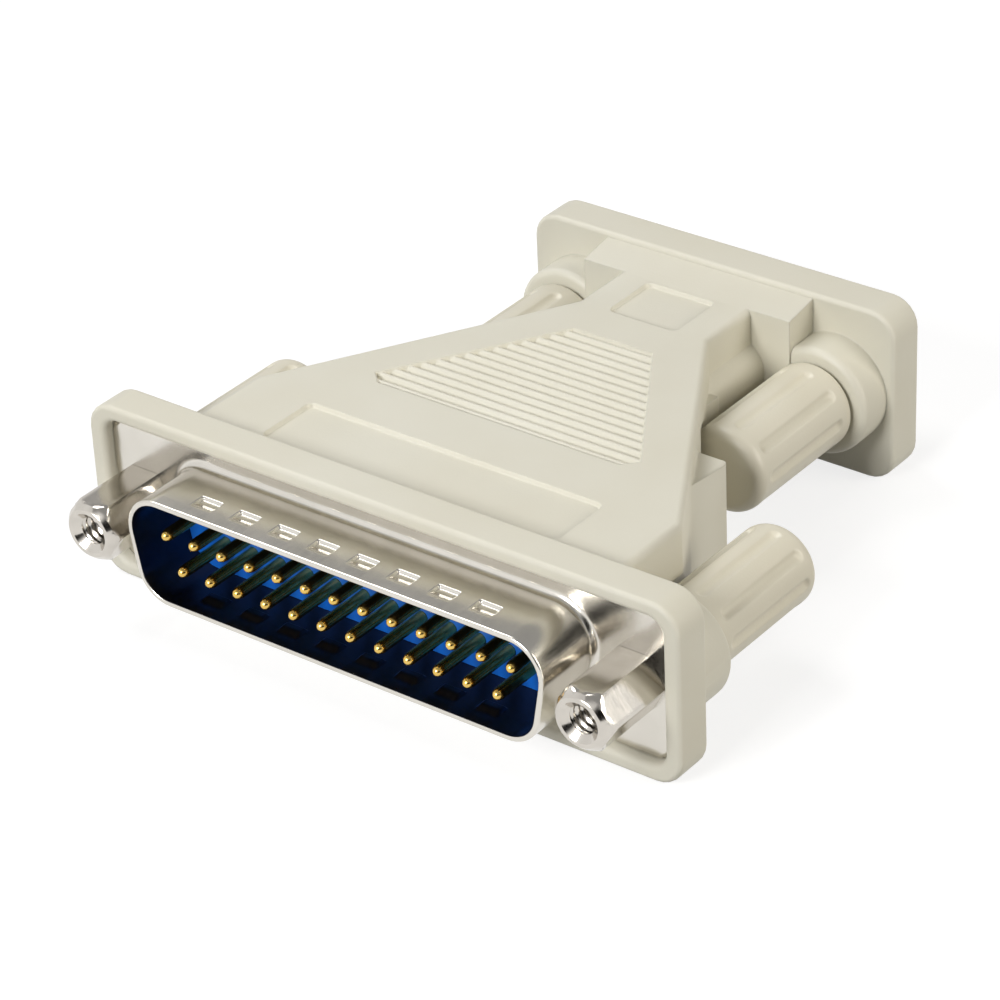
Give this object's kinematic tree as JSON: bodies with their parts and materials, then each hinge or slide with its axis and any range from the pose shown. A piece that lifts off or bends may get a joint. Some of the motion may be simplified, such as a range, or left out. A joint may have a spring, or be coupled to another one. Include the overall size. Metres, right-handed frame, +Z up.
{
  "type": "d-sub adapter",
  "caption": "Moulded hood that joins a wide D-shaped pin plug to a narrow D-shaped socket, with thumbscrews at both ends and hex jack nuts on the plug side.",
  "frame": {"origin": "centre of the bounding box in plan, on the plane that the two flanges stand on", "axes": "+X along the width of both connectors, +Y from the plug end to the socket end, +Z up, the wide side of the D shapes up"},
  "size_m": [0.0564, 0.06, 0.0155],
  "materials": {
    "hood_vinyl": "soft beige vinyl moulding, fine matt grain",
    "grip_plastic": "beige moulded plastic, satin",
    "shell_nickel": "drawn sheet steel, bright nickel plate",
    "nut_nickel": "turned steel, nickel plate",
    "screw_steel": "turned steel, nickel plate",
    "insulator_blue": "glass-filled moulding, satin blue",
    "contact_gold": "turned brass, gold flash",
    "wire_vinyl": "extruded vinyl insulation"
  },
  "bodies": {
    "adapter": {"moulded_hood": "hood_vinyl", "plug_front_shell": "shell_nickel", "plug_rear_shell": "shell_nickel", "plug_front_insulator": "insulator_blue", "plug_rear_insulator": "insulator_blue", "plug_pin_1": "contact_gold", "plug_pin_2": "contact_gold", "plug_pin_3": "contact_gold", "plug_pin_4": "contact_gold", "plug_pin_5": "contact_gold", "plug_pin_6": "contact_gold", "plug_pin_7": "contact_gold", "plug_pin_8": "contact_gold", "plug_pin_9": "contact_gold", "plug_pin_10": "contact_gold", "plug_pin_11": "contact_gold", "plug_pin_12": "contact_gold", "plug_pin_13": "contact_gold", "plug_pin_14": "contact_gold", "plug_pin_15": "contact_gold", "plug_pin_16": "contact_gold", "plug_pin_17": "contact_gold", "plug_pin_18": "contact_gold", "plug_pin_19": "contact_gold", "plug_pin_20": "contact_gold", "plug_pin_21": "contact_gold", "plug_pin_22": "contact_gold", "plug_pin_23": "contact_gold", "plug_pin_24": "contact_gold", "plug_pin_25": "contact_gold", "socket_front_shell": "shell_nickel", "socket_rear_shell": "shell_nickel", "socket_front_insulator": "insulator_blue", "socket_rear_insulator": "insulator_blue", "socket_contact_1": "contact_gold", "socket_contact_2": "contact_gold", "socket_contact_3": "contact_gold", "socket_contact_4": "contact_gold", "socket_contact_5": "contact_gold", "socket_contact_6": "contact_gold", "socket_contact_7": "contact_gold", "socket_contact_8": "contact_gold", "socket_contact_9": "contact_gold", "wire_harness": "wire_vinyl"},
    "plug_left_thumbscrew": {"plug_left_grip": "grip_plastic", "plug_left_screw": "screw_steel", "plug_left_nut": "nut_nickel"},
    "plug_right_thumbscrew": {"plug_right_grip": "grip_plastic", "plug_right_screw": "screw_steel", "plug_right_nut": "nut_nickel"},
    "socket_left_thumbscrew": {"socket_left_grip": "grip_plastic", "socket_left_screw": "screw_steel"},
    "socket_right_thumbscrew": {"socket_right_grip": "grip_plastic", "socket_right_screw": "screw_steel"}
  },
  "joints": [
    {"name": "plug_left_turn", "type": "hinge", "parent": "adapter", "child": "plug_left_thumbscrew", "pos_m": [-0.02352, -0.00907, 0.00775], "axis": [0, 1, 0], "continuous": true},
    {"name": "plug_right_turn", "type": "hinge", "parent": "adapter", "child": "plug_right_thumbscrew", "pos_m": [0.02352, -0.00907, 0.00775], "axis": [0, 1, 0], "continuous": true},
    {"name": "socket_left_turn", "type": "hinge", "parent": "adapter", "child": "socket_left_thumbscrew", "pos_m": [-0.01249, 0.01093, 0.00775], "axis": [0, 1, 0], "continuous": true},
    {"name": "socket_right_turn", "type": "hinge", "parent": "adapter", "child": "socket_right_thumbscrew", "pos_m": [0.01249, 0.01093, 0.00775], "axis": [0, 1, 0], "continuous": true}
  ]
}
